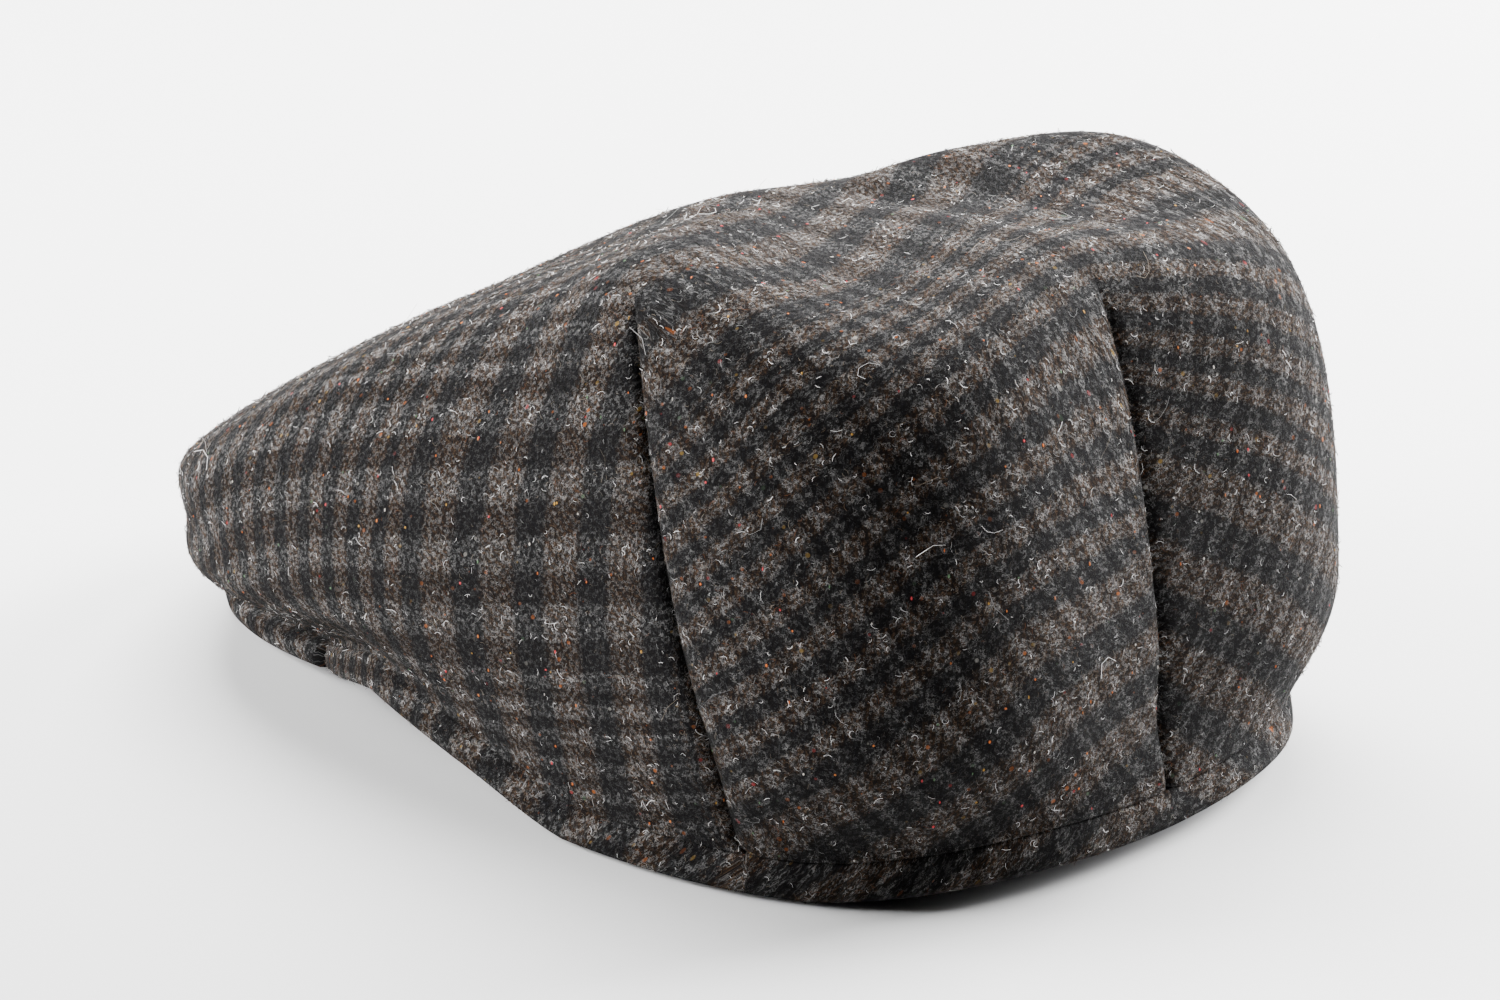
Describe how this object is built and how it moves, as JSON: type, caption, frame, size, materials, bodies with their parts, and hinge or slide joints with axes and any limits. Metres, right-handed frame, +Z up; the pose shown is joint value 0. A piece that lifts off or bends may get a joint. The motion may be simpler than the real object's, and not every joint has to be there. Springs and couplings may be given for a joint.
{
  "type": "tweed flat cap",
  "caption": "Soft flat cap in checked wool tweed, its crown darted at the back, with a turned hem and a stiff peak under the crown's front.",
  "frame": {"origin": "middle of the cap's length and width, on the surface it lies on", "axes": "+Z up, the peak points to -Y, the wearer's left is +X"},
  "size_m": [0.1816, 0.252, 0.1138],
  "materials": {
    "tweed": "napped 2/2 twill wool tweed in a charcoal, grey and brown check",
    "hem_tweed": "the same tweed turned up along the lower edge and stitched",
    "peak_tweed": "the same tweed drawn over a stiff peak"
  },
  "bodies": {
    "root": {"crown": "tweed", "hem_band": "hem_tweed", "peak": "peak_tweed"}
  },
  "joints": []
}
